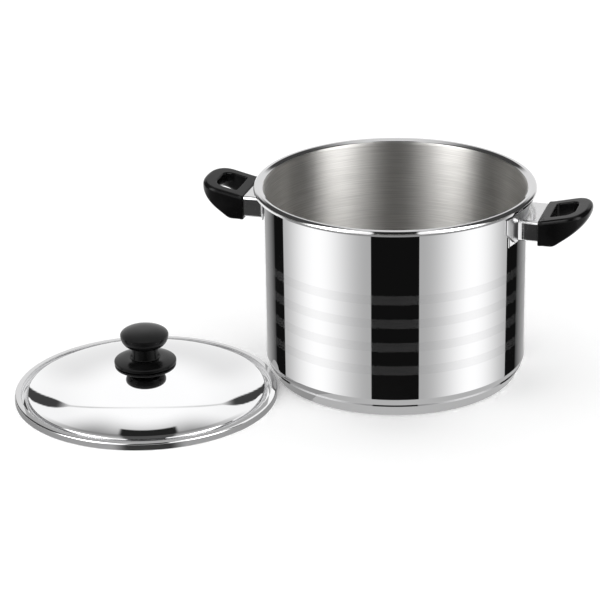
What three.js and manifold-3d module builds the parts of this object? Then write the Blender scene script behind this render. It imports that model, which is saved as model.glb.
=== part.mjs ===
// Stockpot with two side handles and its lid laid down beside it.
// Millimetres, +Z up. The origin is the middle of the base, on the floor.
// +X runs out through the right handle.
import * as THREE from 'three';
import { mergeVertices } from 'three/addons/utils/BufferGeometryUtils.js';
import Module from 'manifold-3d';

const wasm = await Module();
wasm.setup();

// Fits
const fitGap = 0.3; // left between pieces that bear on each other
const screwPlay = 0.4; // round a screw in its hole

// Pot shell
const potRadius = 120; // outside of the wall
const potHeight = 181.5; // floor to the top of the lip
const wallThickness = 1;
const cornerRadius = 13; // outside, from the wall into the bottom
const lipRadius = 2.8; // inside of the rolled lip
const lipReach = 8.6; // wall to the outside of the lip
const lipFlareRadius = 15; // bend of the wall out into the lip
const lipTurn = 195; // degrees that the lip rolls over

// Sandwich base
const coreThickness = 5.6; // aluminium disc
const capThickness = 0.8;
const capHeight = 11.5; // floor to the cap's top edge
const capDraft = 4.4; // how much the cap narrows down to the floor
const capFootRadius = 4; // rounded edge that the pot stands inside

// Handle mounting on the wall
const handleDrop = 27; // handle screws, below the top of the lip
const saddleThickness = 1.5;
const saddleHalfWidth = 44;
const saddleTop = 15.5; // above the handle screw
const wingChamferWidth = 14;
const wingChamferHeight = 12;
const guardHalfWidth = 26;
const guardHalfHeight = 9.8;
const guardSheet = 1;
const guardEdgeRadius = 2.5;
const gripStandoff = 16.8; // wall to the face of the grip's neck
const bossRadius = 6;

// Bakelite grip
const fingerHoleLength = 21;
const fingerHoleHalfWidth = 17.5;
const fingerHoleNeckRadius = 2.5;
const fingerHoleTipRadius = 9;
const gripNeckWall = 9.2; // neck face to the finger hole
const gripTipWall = 13.5; // finger hole to the outer end
const gripNeckSide = 11; // beside the finger hole, at the neck
const gripTipSide = 12; // beside the finger hole, near the outer end
const gripNeckTop = 10.5; // above the handle screw
const gripTopRise = 10; // neck to outer end
const gripUnderside = 12.3; // below the handle screw
const gripFootLength = 13.9; // flat part of the underside
const gripTipThickness = 10;
const gripEdgeRadius = 4;
const gripRoundLength = 20; // outer end, rounded in plan
const gripNoseLength = 6; // outer end, rounded in height
const gripRoundPower = 2.4; // 2 is an ellipse, more is squarer

// Handle screw and washer
const handleScrewRadius = 2.5;
const handleHeadRadius = 4.3;
const handleHeadHeight = 2.6;
const handleSocketRadius = 2; // hexagon socket, across its corners
const handleSocketDepth = 1.6;
const handleWasherRadius = 4.3;
const handleWasherThickness = 0.8;
const screwEndRoom = 2; // end of the screw to the saddle

// Lid pan
const lidOverlap = 0.5; // lid past the inside of the wall, where it seats in the bend below the lip
const lidThickness = 0.8;
const lidHeight = 33; // foot of the flange to the top of the dome
const flangeHeight = 7;
const flangeWidth = 5.8;
const flangeEdgeRadius = 1.4;
const grooveWidth = 4.4;
const grooveDepth = 4.8;
const grooveRadius = 1.2;
const shoulderRadius = 6;
const shoulderHeight = 3.7; // where the shoulder stands upright, above the foot
const lidBearing = 210.5; // degrees round the pot, to the middle of the lid
const lidParting = 1.2; // lid to the side of the base, at the top of the lid's flange

// Knob
const skirtRadius = 28.2;
const skirtThickness = 4.3;
const skirtEdgeRadius = 1.6;
const knobRadius = 21.9;
const knobNeckRadius = 12.7;
const knobNeckHeight = 10.4;
const knobFlare = 1.1; // neck foot, wider than the neck
const knobFlareHeight = 2.2;
const knobBowlHeight = 10.7; // neck to the widest part
const knobCrownHeight = 7;
const knobCrownPower = 0.8; // less is flatter on top
const insertRadius = 4.5;
const insertLength = 12;
const knobScrewRadius = 2;
const knobHeadRadius = 4.2;
const knobHeadHeight = 2.4;
const knobSocketRadius = 1.7;
const knobSocketDepth = 1.3;
const knobWasherRadius = 6.5;
const knobWasherThickness = 1;
const screwTipRoom = 1.5; // end of the knob screw to the end of the insert's hole

// Facets
const roundSegments = 48; // round the pot and the lid
const knobSegments = 32;
const boltSegments = 16;
const edgeSteps = 3; // round a small edge
const cornerSteps = 5; // round the corner of the pot
const flareSteps = 2; // round the bend below the lip
const lipSteps = 8; // over the lip
const footSteps = 4; // round the foot of the base
const grooveSteps = 2; // round each side of the lid's groove
const domeSteps = 7; // up the lid's dome
const knobSteps = 6; // up the knob's bowl, and again over its crown
const gripSteps = 7; // rings round the outer end of a grip
const gripLastRing = 82; // degrees into that end, where it is closed flat
const ringCornerShare = 0.9; // most of a grip ring that its round corners take
const hexagonSides = 6;
const weldDistance = 1e-4; // corners this close are one

// Finishes
const polishedSteel = { color: 0xc9cbce, roughness: 0.12, metalness: 1 };
const brushedSteel = { color: 0xb6b5b1, roughness: 0.35, metalness: 1 };
const zincSteel = { color: 0xa9adb0, roughness: 0.4, metalness: 1 };
const aluminium = { color: 0xb9bcc0, roughness: 0.5, metalness: 1 };
const brass = { color: 0xb5964f, roughness: 0.35, metalness: 1 };
const bakelite = { color: 0x151515, roughness: 0.4, metalness: 0 };

// Sizes that follow from those above
const coreBottom = capThickness + fitGap;
const coreTop = coreBottom + coreThickness;
const shellBottom = coreTop + fitGap;
const cornerMiddle = new THREE.Vector2(potRadius - cornerRadius, shellBottom + cornerRadius);
const capDrop = Math.max(cornerMiddle.y - capHeight, 0);
const capTopRadius = cornerMiddle.x + Math.sqrt(cornerRadius ** 2 - capDrop ** 2) + fitGap + capThickness;
const capFlatRadius = capTopRadius - capDraft - capFootRadius;
const lipHeight = potHeight - wallThickness - lipRadius;
const lipMiddle = potRadius + lipReach - wallThickness - lipRadius;
const flareCosine = Math.min((lipFlareRadius - lipMiddle + potRadius) / (lipFlareRadius - lipRadius), 1);
const flareAngle = THREE.MathUtils.radToDeg(Math.acos(flareCosine));
const flareStart = lipHeight - (lipFlareRadius - lipRadius) * Math.sqrt(1 - flareCosine ** 2);
const handleHeight = potHeight - handleDrop;
const saddleInside = potRadius + fitGap;
const saddleOutside = saddleInside + saddleThickness;
const guardInside = saddleOutside + fitGap;
const neckFace = potRadius + gripStandoff;
const guardEnd = neckFace - fitGap;
const holeStart = neckFace + gripNeckWall;
const holeEnd = holeStart + fingerHoleLength;
const gripEnd = holeEnd + gripTipWall;
const neckHalfWidth = fingerHoleHalfWidth + gripNeckSide;
const tipHalfWidth = fingerHoleHalfWidth + gripTipSide;
const headEnd = holeStart - fitGap;
const headSeat = headEnd - handleHeadHeight;
const handleWasherSeat = headSeat - fitGap - handleWasherThickness;
const counterboreSeat = handleWasherSeat - fitGap;
const counterboreRadius = Math.max(handleHeadRadius, handleWasherRadius) + screwPlay;
const lidRadius = potRadius - wallThickness + lidOverlap;
const capFootRim = capFlatRadius + capFootRadius;
const capSlope = (capTopRadius - capFootRim) / (capHeight - capFootRadius);
const capRadiusAtFlange = capFootRim + capSlope * (flangeHeight - capFootRadius);
const lidDistance = lidRadius + capRadiusAtFlange + lidParting;
const skirtSeat = lidHeight + fitGap;
const skirtTop = skirtSeat + skirtThickness;
const knobSeat = skirtTop + fitGap;
const knobHoleRadius = knobScrewRadius + screwPlay;
const knobWasherTop = lidHeight - lidThickness - fitGap;
const knobHeadTop = knobWasherTop - knobWasherThickness - fitGap;

// Points on an arc in the plane of a profile, from one angle in degrees to another.
function arc(x, y, radius, from, to, steps) {
  const points = [];
  for (let step = 0; step <= steps; step += 1) {
    const angle = THREE.MathUtils.degToRad(from + ((to - from) * step) / steps);
    points.push(new THREE.Vector2(x + radius * Math.cos(angle), y + radius * Math.sin(angle)));
  }
  return points;
}

// Outline of a sheet whose right-hand skin runs through the points given, with its thickness to the left.
function sheetOutline(skin, thickness) {
  const back = skin.map((point, index) => {
    const before = skin[Math.max(index - 1, 0)];
    const after = skin[Math.min(index + 1, skin.length - 1)];
    const along = after.clone().sub(before).normalize();
    return new THREE.Vector2(point.x - along.y * thickness, point.y + along.x * thickness);
  });
  return [...skin, ...back.reverse()];
}

// Bare closed geometry: only positions, shared corners merged, no collapsed triangles.
function weld(geometry) {
  const bare = new THREE.BufferGeometry();
  bare.setAttribute('position', geometry.getAttribute('position').clone());
  bare.setIndex(geometry.index);
  const merged = mergeVertices(bare, weldDistance);
  const corners = Array.from(merged.index.array);
  const kept = [];
  for (let i = 0; i < corners.length; i += 3) {
    const [a, b, c] = corners.slice(i, i + 3);
    if (a !== b && b !== c && c !== a) kept.push(a, b, c);
  }
  merged.setIndex(kept);
  return merged;
}

// Solid of revolution about Z. A profile that stays off the axis is closed on itself.
function lathe(outline, segments) {
  const ring = outline.every((point) => point.x > 0);
  const profile = ring ? [...outline, outline[0]] : outline;
  return weld(new THREE.LatheGeometry(profile, segments).rotateX(Math.PI / 2));
}

const alongX = new THREE.Matrix4().makeBasis(
  new THREE.Vector3(0, 1, 0),
  new THREE.Vector3(0, 0, 1),
  new THREE.Vector3(1, 0, 0),
);

// Outline drawn across X (its x is Y, its y is Z), running from one X to another.
function barAlongX(shape, from, to, curveSegments = boltSegments) {
  const settings = { depth: to - from, bevelEnabled: false, curveSegments };
  return weld(new THREE.ExtrudeGeometry(shape, settings).translate(0, 0, from).applyMatrix4(alongX));
}

// Outline in the XY plane, running from one Z to another.
function barAlongZ(shape, from, to, curveSegments = boltSegments) {
  const settings = { depth: to - from, bevelEnabled: false, curveSegments };
  return weld(new THREE.ExtrudeGeometry(shape, settings).translate(0, 0, from));
}

function polygon(radius, sides) {
  return new THREE.Shape(arc(0, 0, radius, 0, 360 - 360 / sides, sides - 1));
}

function disc(radius) {
  return new THREE.Shape().absarc(0, 0, radius, 0, Math.PI * 2, false);
}

// Rectangle with its corners rounded, each end of it with its own radius.
function roundedRectangle(left, right, halfHeight, leftRadius, rightRadius) {
  const shape = new THREE.Shape();
  const quarter = Math.PI / 2;
  shape.absarc(right - rightRadius, halfHeight - rightRadius, rightRadius, 0, quarter, false);
  shape.absarc(left + leftRadius, halfHeight - leftRadius, leftRadius, quarter, 2 * quarter, false);
  shape.absarc(left + leftRadius, leftRadius - halfHeight, leftRadius, 2 * quarter, 3 * quarter, false);
  shape.absarc(right - rightRadius, rightRadius - halfHeight, rightRadius, 3 * quarter, 4 * quarter, false);
  return shape;
}

// Skin over rings of points, each ring with as many points as the next, closed flat at both ends.
function loft(rings) {
  const count = rings[0].length;
  const positions = rings.flat().flatMap((point) => point.toArray());
  const corners = [];
  for (let ring = 0; ring + 1 < rings.length; ring += 1) {
    for (let i = 0; i < count; i += 1) {
      const a = ring * count + i;
      const b = ring * count + ((i + 1) % count);
      corners.push(a, b, b + count, a, b + count, a + count);
    }
  }
  const last = (rings.length - 1) * count;
  for (let i = 1; i + 1 < count; i += 1) {
    corners.push(0, i + 1, i, last, last + i, last + i + 1);
  }
  const geometry = new THREE.BufferGeometry();
  geometry.setAttribute('position', new THREE.Float32BufferAttribute(positions, 3));
  geometry.setIndex(corners);
  return geometry;
}

function solid(geometry) {
  const vertProperties = geometry.getAttribute('position').array;
  const triVerts = Uint32Array.from(geometry.index.array);
  return new wasm.Manifold(new wasm.Mesh({ numProp: 3, vertProperties, triVerts }));
}

function geometryOf(body) {
  const { vertProperties, triVerts } = body.getMesh();
  const geometry = new THREE.BufferGeometry();
  geometry.setAttribute('position', new THREE.BufferAttribute(vertProperties, 3));
  geometry.setIndex(new THREE.BufferAttribute(triVerts, 1));
  return geometry;
}

function cut(geometry, ...tools) {
  return geometryOf(tools.reduce((body, tool) => body.subtract(solid(tool)), solid(geometry)));
}

function piece(name, geometry, finish) {
  geometry.computeVertexNormals();
  const mesh = new THREE.Mesh(geometry, new THREE.MeshStandardMaterial(finish));
  mesh.name = name;
  return mesh;
}

// Pot shell: flat bottom, rounded corner, upright wall and a lip rolled outwards.
function potShell() {
  const skin = [
    new THREE.Vector2(0, shellBottom),
    ...arc(cornerMiddle.x, cornerMiddle.y, cornerRadius, -90, 0, cornerSteps),
    ...arc(potRadius + lipFlareRadius, flareStart, lipFlareRadius, 180, 180 - flareAngle, flareSteps),
    ...arc(lipMiddle, lipHeight, lipRadius, 180 - flareAngle, 180 - lipTurn, lipSteps).slice(1),
  ];
  return lathe(sheetOutline(skin, wallThickness), roundSegments);
}

function baseCore() {
  const outline = [
    new THREE.Vector2(0, coreBottom),
    new THREE.Vector2(capFlatRadius, coreBottom),
    new THREE.Vector2(capFlatRadius, coreTop),
    new THREE.Vector2(0, coreTop),
  ];
  return lathe(outline, roundSegments);
}

// Cup pressed over the aluminium disc, up to the joint line on the corner of the shell.
function baseCap() {
  const skin = [
    new THREE.Vector2(0, 0),
    ...arc(capFlatRadius, capFootRadius, capFootRadius, -90, 0, footSteps),
    new THREE.Vector2(capTopRadius, capHeight),
  ];
  return lathe(sheetOutline(skin, capThickness), roundSegments);
}

// Cylinder round the pot's axis, faceted as the wall is, from well below the handle screw to well above it.
function wallCylinder(radius) {
  return barAlongZ(polygon(radius, roundSegments), -potHeight, potHeight);
}

// Plate that lies on the wall, with its lower corners cut off at a slant.
function saddle() {
  const bottom = -guardHalfHeight;
  const outline = new THREE.Shape([
    new THREE.Vector2(wingChamferWidth - saddleHalfWidth, bottom),
    new THREE.Vector2(saddleHalfWidth - wingChamferWidth, bottom),
    new THREE.Vector2(saddleHalfWidth, bottom + wingChamferHeight),
    new THREE.Vector2(saddleHalfWidth, saddleTop),
    new THREE.Vector2(-saddleHalfWidth, saddleTop),
    new THREE.Vector2(-saddleHalfWidth, bottom + wingChamferHeight),
  ]);
  const blank = solid(barAlongX(outline, 0, neckFace));
  const curved = blank.intersect(solid(wallCylinder(saddleOutside)));
  return geometryOf(curved.subtract(solid(wallCylinder(saddleInside))));
}

// Box sleeve from the saddle to the neck of the grip, open at both ends.
function flameGuard() {
  const halfWidth = guardHalfWidth;
  const outside = roundedRectangle(-halfWidth, halfWidth, guardHalfHeight, guardEdgeRadius, guardEdgeRadius);
  const inRadius = Math.max(guardEdgeRadius - guardSheet, guardSheet / 2);
  const inWidth = halfWidth - guardSheet;
  outside.holes.push(roundedRectangle(-inWidth, inWidth, guardHalfHeight - guardSheet, inRadius, inRadius));
  return cut(barAlongX(outside, 0, guardEnd, edgeSteps), wallCylinder(guardInside));
}

function studBoss() {
  const ring = disc(bossRadius);
  ring.holes.push(disc(handleScrewRadius + screwPlay));
  return cut(barAlongX(ring, 0, guardEnd), wallCylinder(guardInside));
}

// One ring of the grip at a distance along it: a rectangle with rounded corners, standing across X.
function gripRing(x) {
  const along = (x - neckFace) / (gripEnd - neckFace);
  const intoRound = Math.max(x - (gripEnd - gripRoundLength), 0) / gripRoundLength;
  const intoNose = Math.max(x - (gripEnd - gripNoseLength), 0) / gripNoseLength;
  const slope = Math.max(x - neckFace - gripFootLength, 0) / (gripEnd - neckFace - gripFootLength);
  const narrowing = (1 - intoRound ** gripRoundPower) ** (1 / gripRoundPower);
  const top = gripNeckTop + gripTopRise * along;
  const tipBottom = gripNeckTop + gripTopRise - gripTipThickness;
  const bottom = THREE.MathUtils.lerp(-gripUnderside, tipBottom, slope);
  const halfWidth = THREE.MathUtils.lerp(neckHalfWidth, tipHalfWidth, along) * narrowing;
  const middle = (top + bottom) / 2;
  const halfHeight = ((top - bottom) / 2) * Math.sqrt(1 - intoNose ** 2);
  const radius = Math.min(gripEdgeRadius, halfHeight * ringCornerShare, halfWidth * ringCornerShare);
  const right = arc(halfWidth - radius, halfHeight - radius, radius, 0, 90, edgeSteps);
  const upperLeft = arc(radius - halfWidth, halfHeight - radius, radius, 90, 180, edgeSteps);
  const lowerLeft = arc(radius - halfWidth, radius - halfHeight, radius, 180, 270, edgeSteps);
  const lowerRight = arc(halfWidth - radius, radius - halfHeight, radius, 270, 360, edgeSteps);
  const outline = [...right, ...upperLeft, ...lowerLeft, ...lowerRight];
  return outline.map((point) => new THREE.Vector3(x, point.x, middle + point.y));
}

// Loop grip: straight from the neck, rounded at the outer end, with a finger hole and the screw's hole.
function grip() {
  const roundStart = gripEnd - gripRoundLength;
  const stations = [neckFace, neckFace + gripFootLength, roundStart];
  for (let step = 1; step <= gripSteps; step += 1) {
    const angle = THREE.MathUtils.degToRad((gripLastRing * step) / gripSteps);
    stations.push(roundStart + gripRoundLength * Math.sin(angle));
  }
  const fingerHole = roundedRectangle(
    holeStart,
    holeEnd,
    fingerHoleHalfWidth,
    fingerHoleNeckRadius,
    fingerHoleTipRadius,
  );
  const past = potHeight;
  return cut(
    loft(stations.map(gripRing)),
    barAlongZ(fingerHole, -past, past, edgeSteps + 1),
    barAlongX(disc(handleScrewRadius + screwPlay), neckFace - gripNeckWall, holeStart),
    barAlongX(disc(counterboreRadius), counterboreSeat, holeStart + fitGap),
  );
}

// Screw along Z with its head up, from its tip to the top of its head, and a hexagon socket.
function socketScrew(tip, seat, headTop, radius, headRadius, socketRadius, socketDepth) {
  const outline = [
    new THREE.Vector2(0, tip),
    new THREE.Vector2(radius, tip),
    new THREE.Vector2(radius, seat),
    new THREE.Vector2(headRadius, seat),
    new THREE.Vector2(headRadius, headTop),
    new THREE.Vector2(0, headTop),
  ];
  const hexagon = polygon(socketRadius, hexagonSides);
  return cut(lathe(outline, boltSegments), barAlongZ(hexagon, headTop - socketDepth, headTop + socketDepth));
}

function washer(radius, hole) {
  const ring = disc(radius);
  ring.holes.push(disc(hole));
  return ring;
}

// One side handle, built along +X with its screw on the X axis.
function handle(side) {
  const group = new THREE.Group();
  const screwTip = guardInside + screwEndRoom;
  const screw = socketScrew(
    screwTip,
    headSeat,
    headEnd,
    handleScrewRadius,
    handleHeadRadius,
    handleSocketRadius,
    handleSocketDepth,
  ).applyMatrix4(alongX);
  const washerRing = washer(handleWasherRadius, handleScrewRadius + screwPlay);
  const washerEnd = handleWasherSeat + handleWasherThickness;
  group.add(
    piece(`${side}_saddle`, saddle(), polishedSteel),
    piece(`${side}_flame_guard`, flameGuard(), polishedSteel),
    piece(`${side}_stud_boss`, studBoss(), zincSteel),
    piece(`${side}_grip`, grip(), bakelite),
    piece(`${side}_grip_screw`, screw, zincSteel),
    piece(`${side}_spring_washer`, barAlongX(washerRing, handleWasherSeat, washerEnd), zincSteel),
  );
  group.position.z = handleHeight;
  return group;
}

// Pressed lid: shallow dome, tight shoulder, groove and a flange turned down to the foot.
function lidPan() {
  const flangeTopRadius = lidRadius - flangeEdgeRadius;
  const grooveOutside = lidRadius - flangeWidth;
  const grooveInside = grooveOutside - grooveWidth;
  const grooveBottom = flangeHeight - grooveDepth;
  const shoulderMiddle = grooveInside - shoulderRadius;
  const rise = lidHeight - shoulderHeight;
  const domeRadius =
    (shoulderMiddle ** 2 + rise ** 2 - shoulderRadius ** 2) / (2 * (rise - shoulderRadius));
  const domeMiddle = lidHeight - domeRadius;
  const edgeAngle = THREE.MathUtils.radToDeg(Math.acos(shoulderMiddle / (domeRadius - shoulderRadius)));
  const holeAngle = THREE.MathUtils.radToDeg(Math.acos(knobHoleRadius / domeRadius));
  const skin = [
    new THREE.Vector2(lidRadius, 0),
    ...arc(flangeTopRadius, flangeHeight - flangeEdgeRadius, flangeEdgeRadius, 0, 90, edgeSteps),
    new THREE.Vector2(grooveOutside, flangeHeight),
    ...arc(grooveOutside - grooveRadius, grooveBottom + grooveRadius, grooveRadius, 0, -90, grooveSteps),
    ...arc(grooveInside + grooveRadius, grooveBottom + grooveRadius, grooveRadius, -90, -180, grooveSteps),
    ...arc(shoulderMiddle, shoulderHeight, shoulderRadius, 0, edgeAngle, edgeSteps),
    ...arc(0, domeMiddle, domeRadius, edgeAngle, holeAngle, domeSteps).slice(1),
  ];
  return lathe(sheetOutline(skin, lidThickness), roundSegments);
}

// Heat-guard disc with a rounded edge.
function knobSkirt() {
  const edge = skirtRadius - skirtEdgeRadius;
  const outline = [
    new THREE.Vector2(knobHoleRadius, skirtSeat),
    ...arc(edge, skirtSeat + skirtEdgeRadius, skirtEdgeRadius, -90, 0, edgeSteps),
    ...arc(edge, skirtTop - skirtEdgeRadius, skirtEdgeRadius, 0, 90, edgeSteps),
    new THREE.Vector2(knobHoleRadius, skirtTop),
  ];
  return lathe(outline, knobSegments);
}

// Knob: flared foot, neck, bowl and a low crown, with a blind hole for its insert.
function knobGrip() {
  const neckTop = knobSeat + knobNeckHeight;
  const widest = neckTop + knobBowlHeight;
  const bowl = arc(0, 0, 1, -90, 0, knobSteps).map(
    (point) =>
      new THREE.Vector2(
        knobNeckRadius + (knobRadius - knobNeckRadius) * point.x,
        widest + knobBowlHeight * point.y,
      ),
  );
  const crown = arc(0, 0, 1, 0, 90, knobSteps).map(
    (point) => new THREE.Vector2(knobRadius * point.x ** knobCrownPower, widest + knobCrownHeight * point.y),
  );
  const insertHole = insertRadius + fitGap;
  const holeTop = knobSeat + insertLength + fitGap;
  const outline = [
    new THREE.Vector2(insertHole, knobSeat),
    new THREE.Vector2(knobNeckRadius + knobFlare, knobSeat),
    new THREE.Vector2(knobNeckRadius, knobSeat + knobFlareHeight),
    ...bowl,
    ...crown.slice(1, -1),
    new THREE.Vector2(0, widest + knobCrownHeight),
    new THREE.Vector2(0, holeTop),
    new THREE.Vector2(insertHole, holeTop),
    new THREE.Vector2(insertHole, knobSeat),
  ];
  return lathe(outline, knobSegments);
}

// The lid with everything on it, standing at the lid's own middle.
function lid() {
  const group = new THREE.Group();
  const insertRing = washer(insertRadius, knobHoleRadius);
  const washerRing = washer(knobWasherRadius, knobHoleRadius);
  const washerBottom = knobWasherTop - knobWasherThickness;
  const screwTip = knobSeat + insertLength - screwTipRoom;
  const screw = socketScrew(
    -screwTip,
    -knobHeadTop,
    knobHeadHeight - knobHeadTop,
    knobScrewRadius,
    knobHeadRadius,
    knobSocketRadius,
    knobSocketDepth,
  ).rotateX(Math.PI);
  group.add(
    piece('lid_pan', lidPan(), polishedSteel),
    piece('knob_skirt', knobSkirt(), bakelite),
    piece('knob_grip', knobGrip(), bakelite),
    piece('knob_insert', barAlongZ(insertRing, knobSeat, knobSeat + insertLength), brass),
    piece('knob_screw', screw, zincSteel),
    piece('knob_washer', barAlongZ(washerRing, washerBottom, knobWasherTop), zincSteel),
  );
  const bearing = THREE.MathUtils.degToRad(lidBearing);
  group.position.set(lidDistance * Math.cos(bearing), lidDistance * Math.sin(bearing), 0);
  return group;
}

const stockpot = new THREE.Group();
stockpot.add(
  piece('pot_shell', potShell(), brushedSteel),
  piece('base_core', baseCore(), aluminium),
  piece('base_cap', baseCap(), polishedSteel),
);

const rightHandle = handle('right');
const leftHandle = handle('left');
leftHandle.rotation.z = Math.PI;
stockpot.add(rightHandle, leftHandle, lid());

export default stockpot;
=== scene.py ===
"""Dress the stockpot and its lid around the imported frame, and stand them in a white studio.

Metres, +Z up. The origin is the middle of the pot's base, on the floor, and +X runs out through
the right handle.
"""

import logging
import math
from collections.abc import Callable, Sequence
from dataclasses import dataclass, field
from enum import Enum

import bmesh
import bpy
from bmesh.types import BMEdge, BMesh
from bpy.types import Material, Node, NodeSocket, NodeTree, Object
from mathutils import Euler, Matrix, Vector
from mathutils.geometry import intersect_line_line_2d


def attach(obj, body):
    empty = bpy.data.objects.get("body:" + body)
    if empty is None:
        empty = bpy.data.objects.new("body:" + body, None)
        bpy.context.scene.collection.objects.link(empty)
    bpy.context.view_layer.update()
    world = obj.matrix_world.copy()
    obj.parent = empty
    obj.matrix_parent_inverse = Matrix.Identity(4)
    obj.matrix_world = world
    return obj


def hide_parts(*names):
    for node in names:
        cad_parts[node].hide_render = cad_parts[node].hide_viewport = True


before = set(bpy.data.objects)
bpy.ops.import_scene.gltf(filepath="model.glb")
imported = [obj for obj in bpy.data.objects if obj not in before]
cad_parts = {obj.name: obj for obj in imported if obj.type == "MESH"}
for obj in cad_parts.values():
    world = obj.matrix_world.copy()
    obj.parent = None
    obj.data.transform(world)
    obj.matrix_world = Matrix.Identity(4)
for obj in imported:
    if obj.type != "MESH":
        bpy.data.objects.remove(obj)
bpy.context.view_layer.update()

LOG = logging.getLogger("stockpot")
FULL_TURN = 2 * math.pi
MERGE_DISTANCE = 1e-7
SHARP_ANGLE = math.radians(34)
NORMAL_WEIGHT = 50
ZENITH = 90.0

Point = tuple[float, float]
Outline = list[Point]
Colour = tuple[float, float, float]
UNIT: Point = (0.0, 1.0)
GRAIN_SPAN: Point = (0.3, 0.7)


class Body(Enum):
    """The rigid bodies that pieces ride on."""

    POT = "pot"
    LID = "lid"


class Side(Enum):
    """The two side handles, each with its turn round the pot's axis."""

    RIGHT = 0.0
    LEFT = math.pi

    @property
    def word(self) -> str:
        """The word that this side's names start with."""
        return self.name.lower()


class Slot(Enum):
    """The record's material slots."""

    SHELL = "shell_steel"
    POLISHED = "polished_steel"
    ZINC = "zinc_steel"
    BAKELITE = "bakelite"


# Outlines and meshes


def arc(centre: Point, radius: float, start: float, end: float, steps: int) -> Outline:
    """Points along an arc in the plane of an outline.

    Args:
        centre: Middle of the arc.
        radius: Radius in metres.
        start: First angle in degrees.
        end: Last angle in degrees.
        steps: Number of chords.

    Returns:
        The points, from the first angle to the last.
    """
    points = []
    for step in range(steps + 1):
        angle = math.radians(start + (end - start) * step / steps)
        points.append((centre[0] + radius * math.cos(angle), centre[1] + radius * math.sin(angle)))
    return points


def sheet_outline(skin: Outline, thickness: float) -> Outline:
    """Outline of a sheet whose right-hand face runs through the points of a skin.

    Args:
        skin: Points along one face of the sheet.
        thickness: Sheet thickness, laid off to the left of the way the points run.

    Returns:
        The skin and, back again, the other face.
    """
    other: Outline = []
    for index, place in enumerate(skin):
        here = Vector(place)
        before = Vector(skin[index - 1]) if index else here
        after = Vector(skin[index + 1]) if index + 1 < len(skin) else here
        inward = (here - before).normalized()
        onward = (after - here).normalized()
        along = (inward + onward).normalized()
        miter = thickness / max(along.dot(onward if onward.length else inward), 0.5)
        other.append((here.x - along.y * miter, here.y + along.x * miter))
    return skin + other[::-1]


def rounded_rectangle(low: Point, high: Point, radii: tuple[float, float], steps: int) -> Outline:
    """Rectangle with round corners, anticlockwise.

    Args:
        low: Corner with the lowest coordinates.
        high: Corner with the highest coordinates.
        radii: Corner radius at the low end and at the high end of the first axis.
        steps: Chords in each corner.

    Returns:
        The points of the closed outline.
    """
    near, far = radii
    return (
        arc((high[0] - far, high[1] - far), far, 0, 90, steps)
        + arc((low[0] + near, high[1] - near), near, 90, 180, steps)
        + arc((low[0] + near, low[1] + near), near, 180, 270, steps)
        + arc((high[0] - far, low[1] + far), far, 270, 360, steps)
    )


def resampled(outline: Outline, spacing: float) -> Outline:
    """Closed outline with corners at an even spacing along it.

    Args:
        outline: Corners of the closed outline.
        spacing: Distance between the new corners, about.

    Returns:
        The new corners.
    """
    corners = [Vector(point) for point in outline]
    lengths = [(b - a).length for a, b in zip(corners, corners[1:] + corners[:1])]
    count = round(sum(lengths) / spacing)
    step = sum(lengths) / count
    points: Outline = []
    walked = 0.0
    for index, length in enumerate(lengths):
        start, end = corners[index], corners[(index + 1) % len(corners)]
        while len(points) < count and len(points) * step <= walked + length:
            share = (len(points) * step - walked) / length if length else 0.0
            points.append(tuple(start.lerp(end, share)))
        walked += length
    return points


def ease(value: float, start: float, end: float) -> float:
    """Share from 0 to 1, eased in and out, as a value goes from a start to an end."""
    share = min(max((value - start) / (end - start), 0.0), 1.0)
    return share * share * (3.0 - 2.0 * share)


def mixed(first: float, second: float, share: float) -> float:
    """Value that is a share of the way from one value to another."""
    return first + (second - first) * share


def loop(shape: BMesh, points: Sequence[Sequence[float]]) -> list[BMEdge]:
    """Add a closed loop of edges through points and return the edges."""
    corners = [shape.verts.new(point) for point in points]
    return [shape.edges.new(pair) for pair in zip(corners, corners[1:] + corners[:1])]


def tidy(shape: BMesh) -> None:
    """Merge doubled corners and point every face outwards."""
    bmesh.ops.remove_doubles(shape, verts=shape.verts, dist=MERGE_DISTANCE)
    bmesh.ops.dissolve_degenerate(shape, edges=shape.edges, dist=MERGE_DISTANCE)
    bmesh.ops.recalc_face_normals(shape, faces=shape.faces)


def spin_round(shape: BMesh, geom: Sequence[object], steps: int) -> None:
    """Spin corners and edges a full turn round the Z axis."""
    bmesh.ops.spin(
        shape,
        geom=list(geom),
        cent=(0.0, 0.0, 0.0),
        axis=(0.0, 0.0, 1.0),
        angle=FULL_TURN,
        steps=steps,
        use_merge=True,
    )


def turned(outline: Outline, steps: int) -> BMesh:
    """Spin an outline of radius and height round the Z axis.

    Args:
        outline: Points of radius and height. An outline that stays off the axis is closed.
        steps: Facets round the turn.

    Returns:
        The shape.
    """
    shape = bmesh.new()
    corners = [shape.verts.new((radius, 0.0, height)) for radius, height in outline]
    following = corners[1:] + corners[:1] if min(outline)[0] > 0 else corners[1:]
    edges = [shape.edges.new(pair) for pair in zip(corners, following)]
    spin_round(shape, corners + edges, steps)
    tidy(shape)
    return shape


def bevel(shape: BMesh, edges: Sequence[BMEdge], radius: float, segments: int) -> None:
    """Round edges of a shape to a radius."""
    bmesh.ops.bevel(
        shape,
        geom=list(edges),
        offset=radius,
        offset_type="OFFSET",
        affect="EDGES",
        segments=segments,
        profile=0.5,
        material=-1,
        clamp_overlap=True,
    )


def sharp_edges(shape: BMesh) -> list[BMEdge]:
    """Edges between faces that meet at more than the sharp angle."""
    return [edge for edge in shape.edges if edge.is_manifold and edge.calc_face_angle() > SHARP_ANGLE]


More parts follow.
